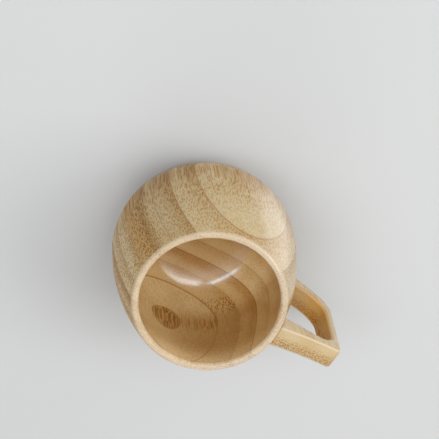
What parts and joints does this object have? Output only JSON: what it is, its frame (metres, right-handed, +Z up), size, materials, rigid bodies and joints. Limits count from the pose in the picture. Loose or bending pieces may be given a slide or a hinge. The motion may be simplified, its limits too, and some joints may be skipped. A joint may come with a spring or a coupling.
{
  "type": "bamboo cup",
  "caption": "Round-bellied drinking cup turned from glued bamboo plies, with a flat base, a rounded lip and a loop handle tenoned into the wall.",
  "frame": {"origin": "centre of the flat base, on the axis the vessel is turned about", "axes": "+Z up along the vessel's axis from base to mouth, +X from the axis towards the handle"},
  "size_m": [0.1186, 0.09, 0.082],
  "materials": {
    "body_bamboo": "satin lacquer over sanded bamboo",
    "handle_bamboo": "satin lacquer over sanded bamboo"
  },
  "bodies": {
    "root": {"body_ply_01": "body_bamboo", "body_ply_02": "body_bamboo", "body_ply_03": "body_bamboo", "body_ply_04": "body_bamboo", "body_ply_05": "body_bamboo", "body_ply_06": "body_bamboo", "body_ply_07": "body_bamboo", "body_ply_08": "body_bamboo", "body_ply_09": "body_bamboo", "body_ply_10": "body_bamboo", "body_ply_11": "body_bamboo", "handle": "handle_bamboo"}
  },
  "joints": []
}
